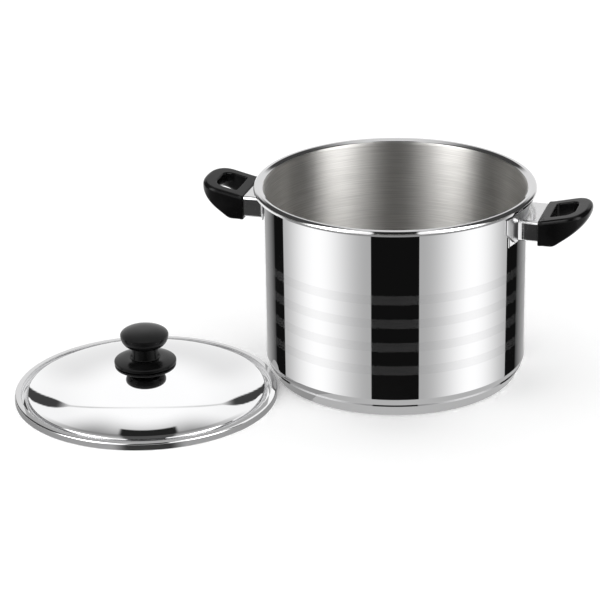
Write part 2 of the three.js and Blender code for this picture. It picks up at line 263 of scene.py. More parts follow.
def new_object(name: str, shape: BMesh) -> Object:
    """Make a shape, which is used up, an object of the scene.

    Args:
        name: Name of the object and its mesh.
        shape: The mesh, in the row frame.

    Returns:
        The new object.
    """
    mesh = bpy.data.meshes.new(name)
    shape.to_mesh(mesh)
    shape.free()
    made = bpy.data.objects.new(name, mesh)
    bpy.context.scene.collection.objects.link(made)
    return made


def finish_node(node: str, finish: Material) -> None:
    """Give a CAD node that keeps its shape a finish."""
    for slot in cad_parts[node].material_slots:
        slot.material = finish


def piece(
    name: str,
    shape: BMesh,
    finishes: Sequence[Material],
    body: Body,
    nodes: Sequence[str],
    slot: Slot,
) -> None:
    """Make a shape an object of the scene that rides on a body and stands for CAD nodes.

    Args:
        name: Name of the new object.
        shape: The mesh, in the row frame. It is used up.
        finishes: Materials, in the order that the faces number them.
        body: Body that the piece rides on.
        nodes: CAD nodes that the piece stands for.
        slot: Record slot that the finish belongs to. Not used.
    """
    made = new_object(name, shape)
    mesh = made.data
    for finish in finishes:
        mesh.materials.append(finish)
    mesh.shade_smooth()
    mesh.set_sharp_from_angle(angle=SHARP_ANGLE)
    even = made.modifiers.new("even_normals", "WEIGHTED_NORMAL")
    even.keep_sharp = True
    even.weight = NORMAL_WEIGHT
    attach(made, body.value)
    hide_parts(*nodes)
    LOG.info("%s: %d faces on body %s", name, len(mesh.polygons), body.value)


def drilled(shape: BMesh, drill: BMesh) -> BMesh:
    """Cut one closed shape out of another.

    Args:
        shape: The shape to cut. It is used up.
        drill: The shape to take away. It is used up.

    Returns:
        What is left.
    """
    blank, tool = new_object("blank", shape), new_object("drill", drill)
    cut = blank.modifiers.new("cut", "BOOLEAN")
    cut.operation = "DIFFERENCE"
    cut.solver = "EXACT"
    cut.object = tool
    bpy.context.view_layer.update()
    left = bmesh.new()
    left.from_mesh(blank.evaluated_get(bpy.context.evaluated_depsgraph_get()).to_mesh())
    for made in (blank, tool):
        mesh = made.data
        bpy.data.objects.remove(made)
        bpy.data.meshes.remove(mesh)
    return left


# Shader nodes


@dataclass
class Graph:
    """Nodes and links of one material, group or world."""

    tree: NodeTree

    def add(self, kind: str, inputs: dict[str | int, object], **settings: object) -> Node:
        """Add a node.

        Args:
            kind: Node type.
            inputs: Socket name or number, with a value or the socket that feeds it.
            settings: Properties of the node itself.

        Returns:
            The new node.
        """
        node = self.tree.nodes.new(kind)
        for name, value in settings.items():
            setattr(node, name, value)
        for key, value in inputs.items():
            if isinstance(value, NodeSocket):
                self.tree.links.new(value, node.inputs[key])
            else:
                node.inputs[key].default_value = value
        return node

    def math(self, operation: str, first: object, second: object = 0.0) -> NodeSocket:
        """Add a Math node and return its result."""
        return self.add("ShaderNodeMath", {0: first, 1: second}, operation=operation).outputs[0]

    def span(self, value: NodeSocket, source: Point, target: Point) -> NodeSocket:
        """Map a value smoothly from one span to another.

        Args:
            value: The value to map.
            source: Span that the value comes from.
            target: Span that the result is in.

        Returns:
            The result.
        """
        inputs = {
            "Value": value,
            "From Min": source[0],
            "From Max": source[1],
            "To Min": target[0],
            "To Max": target[1],
        }
        node = self.add("ShaderNodeMapRange", inputs, interpolation_type="SMOOTHSTEP")
        return node.outputs["Result"]

    def noise(self, position: NodeSocket, scale: object, detail: float) -> NodeSocket:
        """Add a noise texture and return its value."""
        inputs = {"Vector": position, "Scale": scale, "Detail": detail}
        return self.add("ShaderNodeTexNoise", inputs).outputs["Fac"]

    def blend(self, share: NodeSocket, first: Colour, second: Colour) -> NodeSocket:
        """Mix two colours.

        Args:
            share: Share of the second colour.
            first: First colour, linear.
            second: Second colour, linear.

        Returns:
            The mixed colour.
        """
        node = self.add("ShaderNodeMix", {"Factor": share}, data_type="RGBA")
        colours = [socket for socket in node.inputs if socket.type == "RGBA"]
        colours[0].default_value = (*first, 1.0)
        colours[1].default_value = (*second, 1.0)
        return next(socket for socket in node.outputs if socket.type == "RGBA")


Inputs = dict[str, NodeSocket]


def blank_material(name: str) -> tuple[Material, Graph]:
    """Begin a material with no nodes.

    Args:
        name: Name of the material.

    Returns:
        The material and its empty graph.
    """
    material = bpy.data.materials.new(name)
    material.use_nodes = True
    material.node_tree.nodes.clear()
    return material, Graph(material.node_tree)


def effect(
    name: str,
    values: dict[str, float],
    outputs: Sequence[str],
    build: Callable[[Graph, Inputs], Inputs],
) -> NodeTree:
    """Build a shader group that reads a position and puts out values.

    Args:
        name: Name of the group.
        values: Its number inputs with their defaults.
        outputs: Names of its outputs.
        build: Makes the nodes from the group's inputs and returns a socket for each output.

    Returns:
        The node group.
    """
    tree = bpy.data.node_groups.new(name, "ShaderNodeTree")
    tree.interface.new_socket("Position", in_out="INPUT", socket_type="NodeSocketVector")
    for word, default in values.items():
        socket = tree.interface.new_socket(word, in_out="INPUT", socket_type="NodeSocketFloat")
        socket.default_value = default
    for word in outputs:
        tree.interface.new_socket(word, in_out="OUTPUT", socket_type="NodeSocketFloat")
    graph = Graph(tree)
    entry = graph.add("NodeGroupInput", {})
    results = build(graph, {socket.name: socket for socket in entry.outputs if socket.name})
    graph.add("NodeGroupOutput", dict(results))
    return tree


class Effects:
    """Surface effects that several finishes share, each built once."""

    def __init__(self) -> None:
        """Build the groups."""
        self.grain = effect("turned_grain", {"Fineness": 900.0, "Reach": 7.0}, ["Grain"], self._grain)
        self.marks = effect("handling_marks", {"Size": 40.0}, ["Marks"], self._marks)
        self.skin = effect("moulded_skin", {"Size": 2600.0}, ["Height", "Dulling"], self._skin)

    @staticmethod
    def _grain(graph: Graph, inputs: Inputs) -> Inputs:
        """Fine lines round the Z axis, level on a wall and in circles on a floor.

        Args:
            graph: Nodes of the group.
            inputs: Inputs of the group.

        Returns:
            The grain.
        """
        parts = graph.add("ShaderNodeSeparateXYZ", {0: inputs["Position"]}).outputs
        squares = [graph.math("POWER", graph.math("ABSOLUTE", part), 2.0) for part in parts[:2]]
        radius = graph.math("SQRT", graph.math("ADD", *squares))
        across = graph.math("MULTIPLY", graph.math("ADD", parts[2], radius), inputs["Fineness"])
        along = [graph.math("MULTIPLY", part, inputs["Reach"]) for part in parts[:2]]
        lines = graph.add("ShaderNodeCombineXYZ", {0: along[0], 1: along[1], 2: across}).outputs[0]
        return {"Grain": graph.noise(lines, 1.0, 3.0)}

    @staticmethod
    def _marks(graph: Graph, inputs: Inputs) -> Inputs:
        """Faint wiping marks and smudges."""
        cloud = graph.noise(inputs["Position"], inputs["Size"], 4.0)
        return {"Marks": graph.span(cloud, (0.42, 0.72), UNIT)}

    @staticmethod
    def _skin(graph: Graph, inputs: Inputs) -> Inputs:
        """Moulded plastic: a fine orange-peel height, and patches that shine less.

        Args:
            graph: Nodes of the group.
            inputs: Inputs of the group.

        Returns:
            The height and the dulling.
        """
        height = graph.noise(inputs["Position"], inputs["Size"], 2.0)
        patch_size = graph.math("DIVIDE", inputs["Size"], 40.0)
        patches = graph.noise(inputs["Position"], patch_size, 3.0)
        return {"Height": height, "Dulling": graph.span(patches, (0.35, 0.7), UNIT)}


class Surface:
    """A material under way: its shader, its graph and its Object coordinates."""

    def __init__(self, name: str, colour: Colour, metallic: float) -> None:
        """Begin a material.

        Args:
            name: Name of the material.
            colour: Base colour, linear.
            metallic: 1 for a metal and 0 for anything else.
        """
        self.material = bpy.data.materials.new(name)
        self.material.use_nodes = True
        self.material.diffuse_color = (*colour, 1.0)
        self.graph = Graph(self.material.node_tree)
        self.shader = self.material.node_tree.nodes["Principled BSDF"]
        self.fix("Base Color", (*colour, 1.0))
        self.fix("Metallic", metallic)
        self.position = self.graph.add("ShaderNodeTexCoord", {}).outputs["Object"]

    def fix(self, socket: str, value: object) -> None:
        """Set a shader socket to one value all over the surface."""
        self.shader.inputs[socket].default_value = value

    def feed(self, socket: str, source: NodeSocket) -> None:
        """Let a pattern drive a shader socket."""
        self.graph.tree.links.new(source, self.shader.inputs[socket])

    def use(self, group: NodeTree, **values: float) -> dict[str, NodeSocket]:
        """Place a shared effect in the material.

        Args:
            group: The effect's node group.
            values: Its number inputs.

        Returns:
            Its outputs by name.
        """
        node = self.graph.add("ShaderNodeGroup", {}, node_tree=group)
        self.graph.tree.links.new(self.position, node.inputs["Position"])
        for word, value in values.items():
            node.inputs[word].default_value = value
        return {socket.name: socket for socket in node.outputs}

    def bump(self, height: NodeSocket, distance: float, strength: float) -> None:
        """Raise the surface by a height pattern."""
        inputs = {"Height": height, "Distance": distance, "Strength": strength}
        self.feed("Normal", self.graph.add("ShaderNodeBump", inputs).outputs["Normal"])


# Finishes


@dataclass(frozen=True)
class MirrorSteel:
    """Stainless steel polished to a mirror, with faint handling marks."""

    name: str
    colour: Colour = (0.79, 0.79, 0.795)
    clean: float = 0.03
    marked: float = 0.07
    mark_size: float = 34.0

    def build(self, effects: Effects) -> Material:
        """Build the material.

        Args:
            effects: Surface effects that the finishes share.

        Returns:
            The material.
        """
        surface = Surface(self.name, self.colour, 1.0)
        marks = surface.use(effects.marks, Size=self.mark_size)["Marks"]
        surface.feed("Roughness", surface.graph.span(marks, UNIT, (self.clean, self.marked)))
        return surface.material


@dataclass(frozen=True)
class BandedSteel:
    """Outside of the shell: mirror polish with satin bands ground round it, up from the first."""

    name: str = "banded_steel"
    colour: Colour = (0.79, 0.79, 0.795)
    satin_colour: Colour = (0.735, 0.735, 0.74)
    satin_metal: float = 0.97
    clean: float = 0.03
    marked: float = 0.06
    satin: float = 0.11
    satin_swing: float = 0.03
    mark_size: float = 30.0
    fineness: float = 2400.0
    reach: float = 5.0
    first: float = 0.0473
    pitch: float = 0.0223
    count: int = 4
    width: float = 0.0087
    edge: float = 0.0004

    def _bands(self, graph: Graph, height: NodeSocket) -> NodeSocket:
        """Build the mask of the satin bands.

        Args:
            graph: Nodes of the material.
            height: Height above the floor.

        Returns:
            The mask, 1 on a band.
        """
        start = self.first - self.pitch / 2
        turns = graph.math("DIVIDE", graph.math("SUBTRACT", height, start), self.pitch)
        within = graph.math("ABSOLUTE", graph.math("SUBTRACT", graph.math("FRACT", turns), 0.5))
        half = self.width / self.pitch / 2
        soft = self.edge / self.pitch
        band = graph.span(within, (half - soft, half + soft), (1.0, 0.0))
        above = graph.math("GREATER_THAN", turns, 0.0)
        below = graph.math("LESS_THAN", turns, float(self.count))
        return graph.math("MULTIPLY", band, graph.math("MULTIPLY", above, below))

    def build(self, effects: Effects) -> Material:
        """Build the material.

        Args:
            effects: Surface effects that the finishes share.

        Returns:
            The material.
        """
        surface = Surface(self.name, self.colour, 1.0)
        graph = surface.graph
        height = graph.add("ShaderNodeSeparateXYZ", {0: surface.position}).outputs[2]
        bands = self._bands(graph, height)
        grain = surface.use(effects.grain, Fineness=self.fineness, Reach=self.reach)["Grain"]
        marks = surface.use(effects.marks, Size=self.mark_size)["Marks"]
        polish = graph.span(marks, UNIT, (self.clean, self.marked))
        swing = self.satin_swing
        satin = graph.span(grain, GRAIN_SPAN, (self.satin - swing, self.satin + swing))
        step = graph.math("MULTIPLY", bands, graph.math("SUBTRACT", satin, polish))
        surface.feed("Roughness", graph.math("ADD", polish, step))
        surface.feed("Base Color", graph.blend(bands, self.colour, self.satin_colour))
        surface.feed("Metallic", graph.span(bands, UNIT, (1.0, self.satin_metal)))
        return surface.material


@dataclass(frozen=True)
class BrushedSteel:
    """Inside of the shell: brushed round the axis."""

    name: str = "brushed_steel"
    dark: Colour = (0.55, 0.54, 0.525)
    light: Colour = (0.67, 0.66, 0.64)
    smooth: float = 0.44
    rough: float = 0.52
    stretch: float = 0.92
    quarter: float = 0.25
    fineness: float = 1500.0
    reach: float = 25.0
    line_height: float = 0.00001
    line_strength: float = 0.2

    def build(self, effects: Effects) -> Material:
        """Build the material.

        Args:
            effects: Surface effects that the finishes share.

        Returns:
            The material.
        """
        surface = Surface(self.name, self.light, 1.0)
        surface.fix("Anisotropic", self.stretch)
        surface.fix("Anisotropic Rotation", self.quarter)
        grain = surface.use(effects.grain, Fineness=self.fineness, Reach=self.reach)["Grain"]
        share = surface.graph.span(grain, GRAIN_SPAN, UNIT)
        surface.feed("Base Color", surface.graph.blend(share, self.dark, self.light))
        surface.feed("Roughness", surface.graph.span(share, UNIT, (self.rough, self.smooth)))
        surface.bump(grain, self.line_height, self.line_strength)
        return surface.material


@dataclass(frozen=True)
class Bakelite:
    """Black moulded bakelite with a satin shine."""

    name: str = "black_bakelite"
    deep: Colour = (0.0035, 0.0035, 0.0036)
    dusty: Colour = (0.006, 0.006, 0.0062)
    bright: float = 0.16
    dull: float = 0.24
    shine: float = 0.13
    skin_size: float = 2400.0
    peel_height: float = 0.00001
    peel_strength: float = 0.5

    def build(self, effects: Effects) -> Material:
        """Build the material.

        Args:
            effects: Surface effects that the finishes share.

        Returns:
            The material.
        """
        surface = Surface(self.name, self.deep, 0.0)
        surface.fix("Specular IOR Level", self.shine)
        skin = surface.use(effects.skin, Size=self.skin_size)
        dulling = skin["Dulling"]
        surface.feed("Base Color", surface.graph.blend(dulling, self.deep, self.dusty))
        surface.feed("Roughness", surface.graph.span(dulling, UNIT, (self.bright, self.dull)))
        surface.bump(skin["Height"], self.peel_height, self.peel_strength)
        return surface.material


@dataclass(frozen=True)
class TurnedMetal:
    """A plain metal with the fine lines of turning or rolling."""

    name: str
    dark: Colour
    light: Colour
    smooth: float
    rough: float
    fineness: float = 1500.0
    reach: float = 60.0

    def build(self, effects: Effects) -> Material:
        """Build the material.

        Args:
            effects: Surface effects that the finishes share.

        Returns:
            The material.
        """
        surface = Surface(self.name, self.light, 1.0)
        grain = surface.use(effects.grain, Fineness=self.fineness, Reach=self.reach)["Grain"]
        surface.feed("Base Color", surface.graph.blend(grain, self.dark, self.light))
        surface.feed("Roughness", surface.graph.span(grain, (0.2, 0.8), (self.smooth, self.rough)))
        return surface.material


class Finishes:
    """Every finish of the pot and the lid, built once."""

    def __init__(self) -> None:
        """Build the materials."""
        effects = Effects()
        zinc = TurnedMetal("zinc_plate", (0.56, 0.58, 0.6), (0.68, 0.7, 0.71), 0.24, 0.38)
        aluminium = TurnedMetal("rolled_aluminium", (0.66, 0.67, 0.68), (0.76, 0.77, 0.78), 0.35, 0.5)
        brass = TurnedMetal("turned_brass", (0.6, 0.49, 0.25), (0.72, 0.6, 0.32), 0.25, 0.4)
        self.mirror = MirrorSteel("mirror_steel").build(effects)
        self.folded = MirrorSteel("folded_steel", clean=0.12, marked=0.16).build(effects)
        self.pressed = MirrorSteel("pressed_steel", clean=0.3, marked=0.36).build(effects)
        self.banded = BandedSteel().build(effects)
        self.brushed = BrushedSteel().build(effects)
        self.bakelite = Bakelite().build(effects)
        self.zinc = zinc.build(effects)
        self.aluminium = aluminium.build(effects)
        self.brass = brass.build(effects)


# The pot and its lid


@dataclass
class PotVessel:
    """Drawn shell with a rolled lip, and the cup pressed over the base."""

    radius: float = 0.12
    sheet: float = 0.001
    bottom: float = 0.007
    corner: float = 0.013
    lip_radius: float = 0.0028
    lip_middle: Point = (0.1248, 0.1777)
    lip_turn: float = 195.0
    flare_radius: float = 0.003
    flare_turn: float = 62.0
    brushed_top: float = 0.1793
    food_slope: float = 0.3
    cap_sheet: float = 0.0008
    cap_top: Point = (0.11794, 0.0115)
    cap_flat: float = 0.10954
    cap_foot: float = 0.004
    facets: int = 240

    def build(self, finishes: Finishes) -> None:
        """Build the shell and the cap, and give the disc between them its finish."""
        self._shell(finishes)
        self._cap(finishes)
        finish_node("base_core", finishes.aluminium)

    def _shell(self, finishes: Finishes) -> None:
        """Turn the shell: bottom, corner, wall, flare and lip."""
        corner = (self.radius - self.corner, self.bottom + self.corner)
        bend = 180 - self.flare_turn
        lip = arc(self.lip_middle, self.lip_radius, bend, 180 - self.lip_turn, 24)
        out = arc((self.radius + self.flare_radius, 0.0), self.flare_radius, 180, bend, 10)
        slope = (lip[0][0] - out[-1][0]) / math.tan(math.radians(self.flare_turn))
        start = lip[0][1] - slope - out[-1][1]
        skin = (
            [(0.0, self.bottom)]
            + arc(corner, self.corner, -90, 0, 14)
            + [(x, start + z) for x, z in out]
            + lip
        )
        shape = turned(sheet_outline(skin, self.sheet), self.facets)
        for face in shape.faces:
            middle = face.calc_center_median()
            outward = face.normal.dot(Vector((middle.x, middle.y, 0.0)).normalized())
            food_side = outward < -self.food_slope or face.normal.z > self.food_slope
            face.material_index = int(food_side and middle.z < self.brushed_top)
        piece(
            "shell",
            shape,
            [finishes.banded, finishes.brushed],
            Body.POT,
            ["pot_shell"],
            Slot.SHELL,
        )

    def _cap(self, finishes: Finishes) -> None:
        """Turn the cup that covers the base."""
        skin = (
            [(0.0, 0.0)]
            + arc((self.cap_flat, self.cap_foot), self.cap_foot, -90, 0, 12)
            + [self.cap_top]
        )
        shape = turned(sheet_outline(skin, self.cap_sheet), self.facets)
        piece("base_cup", shape, [finishes.mirror], Body.POT, ["base_cap"], Slot.POLISHED)


@dataclass
class SocketScrew:
    """Screw along Z with its head up and a hexagon socket in it."""

    tip: float
    seat: float
    head_top: float
    radius: float
    head_radius: float
    socket_radius: float
    socket_depth: float
    facets: int = 48
    sides: int = 6

    def shape(self) -> BMesh:
        """Build the screw.

        Returns:
            The closed shape.
        """
        edge = (self.head_top - self.seat) / 5
        rim = (self.head_radius + self.socket_radius) / 2
        outline = [
            (0.0, self.tip),
            (self.radius - edge, self.tip),
            (self.radius, self.tip + edge),
            (self.radius, self.seat),
            (self.head_radius - edge / 2, self.seat),
            (self.head_radius, self.seat + edge / 2),
            *arc((self.head_radius - edge, self.head_top - edge), edge, 0, 90, 4),
            (rim, self.head_top),
        ]
        shape = turned(outline, self.facets)
        rim_edges = [e for e in shape.edges if e.is_boundary]
        corners = arc((0.0, 0.0), self.socket_radius, 0, 360 - 360 / self.sides, self.sides - 1)
        hexagon = loop(shape, [(x, y, self.head_top) for x, y in corners])
        cuts = self.facets // self.sides - 1
        bmesh.ops.subdivide_edges(shape, edges=hexagon, cuts=cuts)
        inner = [e for e in shape.edges if not e.link_faces]
        bmesh.ops.bridge_loops(shape, edges=rim_edges + inner)
        inner = [e for e in shape.edges if e.is_boundary]
        walls = bmesh.ops.extrude_edge_only(shape, edges=inner)["geom"]
        deep = [v for v in walls if isinstance(v, bmesh.types.BMVert)]
        bmesh.ops.translate(shape, verts=deep, vec=(0.0, 0.0, -self.socket_depth))
        bmesh.ops.holes_fill(shape, edges=[e for e in shape.edges if e.is_boundary], sides=0)
        tidy(shape)
        return shape


@dataclass
class SideHandle:
    """Saddle plate on the wall, sheet sleeve, bakelite loop grip and its screw."""

    side: Side
    height: float = 0.1545
    saddle_inside: float = 0.1203
    saddle_outside: float = 0.1218
    saddle_half: float = 0.044
    saddle_low: float = -0.0098
    saddle_high: float = 0.0155
    wing_chamfer: Point = (0.014, 0.012)
    saddle_edge: float = 0.0004
    saddle_steps: int = 40
    guard_half: Point = (0.026, 0.0098)
    guard_sheet: float = 0.001
    guard_corner: float = 0.0025
    guard_inside: float = 0.1221
    guard_end: float = 0.1365
    neck: float = 0.1368
    grip_end: float = 0.1805
    neck_half: float = 0.0285
    tip_half: float = 0.0295
    neck_corner: float = 0.002
    neck_blend: float = 0.003
    round_length: float = 0.02
    round_power: float = 2.4
    round_steps: int = 32
    spacing: float = 0.0011
    hole_low: Point = (0.146, -0.0175)
    hole_high: Point = (0.167, 0.0175)
    hole_corners: tuple[float, float] = (0.0025, 0.009)
    neck_top: float = 0.0105
    top_rise: float = 0.01
    underside: float = -0.0123
    foot_length: float = 0.0139
    foot_blend: float = 0.003
    tip_thickness: float = 0.01
    neck_edge: float = 0.0012
    side_top_edge: float = 0.0032
    side_low_edge: float = 0.003
    nose_edge: float = 0.0046
    hole_top_edge: float = 0.0015
    hole_low_edge: Point = (0.008, 0.014)
    hole_edge_most: Point = (0.6, 0.78)
    counterbore: Point = (0.0047, 0.1417)
    screw_hole: float = 0.0029
    drill_facets: int = 48
    screw: SocketScrew = field(
        default_factory=lambda: SocketScrew(0.1241, 0.1431, 0.1457, 0.0025, 0.0043, 0.002, 0.0016)
    )

    @property
    def _place(self) -> Matrix:
        """Where the handle goes, from its own X axis."""
        return Matrix.Rotation(self.side.value, 4, "Z") @ Matrix.Translation((0.0, 0.0, self.height))

    def _add(self, word: str, shape: BMesh, finish: Material, node: str, slot: Slot) -> None:
        """Place a shape of this handle and make it a piece."""
        bmesh.ops.transform(shape, matrix=self._place, verts=shape.verts)
        name = f"{self.side.word}_{word}"
        piece(name, shape, [finish], Body.POT, [f"{self.side.word}_{node}"], slot)

    def build(self, finishes: Finishes) -> None:
        """Build every piece of the handle."""
        self._add("saddle_plate", self._saddle(), finishes.pressed, "saddle", Slot.POLISHED)
        self._add("sleeve", self._sleeve(), finishes.folded, "flame_guard", Slot.POLISHED)
        self._add("loop_grip", self._grip(), finishes.bakelite, "grip", Slot.BAKELITE)
        screw = self.screw.shape()
        bmesh.ops.transform(screw, matrix=Matrix.Rotation(math.pi / 2, 4, "Y"), verts=screw.verts)
        self._add("socket_screw", screw, finishes.zinc, "grip_screw", Slot.ZINC)
        for hidden in ("stud_boss", "spring_washer"):
            finish_node(f"{self.side.word}_{hidden}", finishes.zinc)

    def _saddle(self) -> BMesh:
        """Bend a plate round the wall and cut its lower corners off at a slant."""
        shape = bmesh.new()
        sweep = 2 * math.asin(self.saddle_half / self.saddle_outside)
        start = Matrix.Rotation(-sweep / 2, 3, "Z") @ Vector((self.saddle_inside, 0.0, 0.0))
        ends = [shape.verts.new((start.x, start.y, z)) for z in (self.saddle_low, self.saddle_high)]
        upright = shape.edges.new(ends)
        bmesh.ops.spin(
            shape,
            geom=[*ends, upright],
            cent=(0.0, 0.0, 0.0),
            axis=(0.0, 0.0, 1.0),
            angle=sweep,
            steps=self.saddle_steps,
        )
        width, height = self.wing_chamfer
        for sign in (-1, 1):
            bmesh.ops.bisect_plane(
                shape,
                geom=shape.verts[:] + shape.edges[:] + shape.faces[:],
                plane_co=(0.0, sign * (self.saddle_half - width), self.saddle_low),
                plane_no=(0.0, sign * height, -width),
                clear_outer=True,
            )
        bmesh.ops.recalc_face_normals(shape, faces=shape.faces)
        grown = bmesh.ops.extrude_face_region(shape, geom=shape.faces[:])["geom"]
        outer = [v for v in grown if isinstance(v, bmesh.types.BMVert)]
        growth = self.saddle_outside / self.saddle_inside
        bmesh.ops.scale(shape, vec=(growth, growth, 1.0), verts=outer)
        tidy(shape)
        bevel(shape, sharp_edges(shape), self.saddle_edge, 2)
        return shape

    def _sleeve(self) -> BMesh:
        """Draw a box sleeve out from the saddle to the neck of the grip."""
        shape = bmesh.new()
        rims = []
        for inset in (0.0, self.guard_sheet):
            half_width, half_height = self.guard_half[0] - inset, self.guard_half[1] - inset
            corner = self.guard_corner - inset
            outline = rounded_rectangle(
                (-half_width, -half_height), (half_width, half_height), (corner, corner), 6
            )
            corners = resampled(outline, self.spacing)
            rims += loop(shape, [(self.guard_end, y, z) for y, z in corners])
        end = bmesh.ops.bridge_loops(shape, edges=rims)["faces"]
        for drawn in bmesh.ops.extrude_face_region(shape, geom=end)["geom"]:
            if isinstance(drawn, bmesh.types.BMVert):
                drawn.co.x = math.sqrt(self.guard_inside**2 - drawn.co.y**2)
        tidy(shape)
        return shape

    def _plan(self) -> Outline:
        """Outline of the grip from above, anticlockwise."""
        start = self.grip_end - self.round_length
        corner = (self.neck + self.neck_corner, self.neck_half - self.neck_corner)
        side = arc(corner, self.neck_corner, 180, 90, 6)
        power = 2 / self.round_power
        for step in range(self.round_steps + 1):
            angle = math.pi / 2 * step / self.round_steps
            x = start + self.round_length * math.sin(angle) ** power
            share = (x - self.neck) / (self.grip_end - self.neck)
            half = mixed(self.neck_half, self.tip_half, share)
            side.append((x, half * max(math.cos(angle), 0.0) ** power))
        return [(x, -y) for x, y in side] + side[-2::-1]

    def _top(self, x: float) -> float:
        """Height of the grip's top, which rises from the neck to the outer end."""
        return self.neck_top + self.top_rise * (x - self.neck) / (self.grip_end - self.neck)

    def _underside(self, x: float) -> float:
        """Height of the grip's underside: flat from the neck, then sloping up to the outer end."""
        tip_low = self.neck_top + self.top_rise - self.tip_thickness
        slope = (tip_low - self.underside) / (self.grip_end - self.neck - self.foot_length)
        past = x - self.neck - self.foot_length
        soft = self.foot_blend
        if past <= -soft:
            return self.underside
        if past >= soft:
            return self.underside + slope * past
        return self.underside + slope * (past + soft) ** 2 / (4 * soft)

    def _section(self, inner: Vector, outer: Vector) -> list[Vector]:
        """Round-cornered section of the grip between the finger hole and the outside.

        Args:
            inner: Point of the finger hole's outline, from above.
            outer: Point of the grip's outline, from above.

        Returns:
            The points of the closed section.
        """
        length = (outer - inner).length
        into_side = ease(outer.x, self.neck, self.neck + self.neck_blend)
        into_nose = ease(outer.x, self.grip_end - self.round_length, self.grip_end)
        edges = []
        for side_edge in (self.side_top_edge, self.side_low_edge):
            edge = mixed(self.neck_edge, side_edge, into_side)
            edges.append(edge + (self.nose_edge - side_edge) * into_nose)
        top, low = edges
        sizes = (length, self._top(inner.x) - self._underside(inner.x))
        hole_wide, hole_tall = (
            min(edge, most * size)
            for edge, most, size in zip(self.hole_low_edge, self.hole_edge_most, sizes)
        )
        corners = [
            (length - top, top, top, 1, 90, 0),
            (length - low, low, low, -1, 0, -90),
            (hole_wide, hole_wide, hole_tall, -1, -90, -180),
            (self.hole_top_edge, self.hole_top_edge, self.hole_top_edge, 1, 180, 90),
        ]
        points = []
        for middle, wide, tall, up, start, end in corners:
            for across, rise in arc((0.0, 0.0), 1.0, start, end, 7):
                spot = inner.lerp(outer, (middle + wide * across) / length)
                level = self._top(spot.x) - tall if up > 0 else self._underside(spot.x) + tall
                points.append(Vector((spot.x, spot.y, level + tall * rise)))
        return points

    def _grip(self) -> BMesh:
        """Run round-cornered sections round the finger hole, and drill the screw's hole."""
        hole = rounded_rectangle(self.hole_low, self.hole_high, self.hole_corners, 12)
        hole_edges = list(zip(hole, hole[1:] + hole[:1]))
        middle = (Vector(self.hole_low) + Vector(self.hole_high)) / 2
        shape = bmesh.new()
        sections = []
        for place in resampled(self._plan(), self.spacing):
            outer = Vector(place)
            crossings = [
                intersect_line_line_2d(middle, outer, Vector(a), Vector(b)) for a, b in hole_edges
            ]
            inner = next(point for point in crossings if point is not None)
            sections.append(loop(shape, self._section(inner, outer)))
        for section, following in zip(sections, sections[1:] + sections[:1]):
            bmesh.ops.bridge_loops(shape, edges=section + following)
        tidy(shape)
        radius, seat = self.counterbore
        past = self.hole_low[0] + self.hole_corners[0]
        drill = turned(
            [
                (0.0, self.neck - radius),
                (self.screw_hole, self.neck - radius),
                (self.screw_hole, seat),
                (radius, seat),
                (radius, past),
                (0.0, past),
            ],
            self.drill_facets,
        )
        bmesh.ops.transform(drill, matrix=Matrix.Rotation(math.pi / 2, 4, "Y"), verts=drill.verts)
        return drilled(shape, drill)


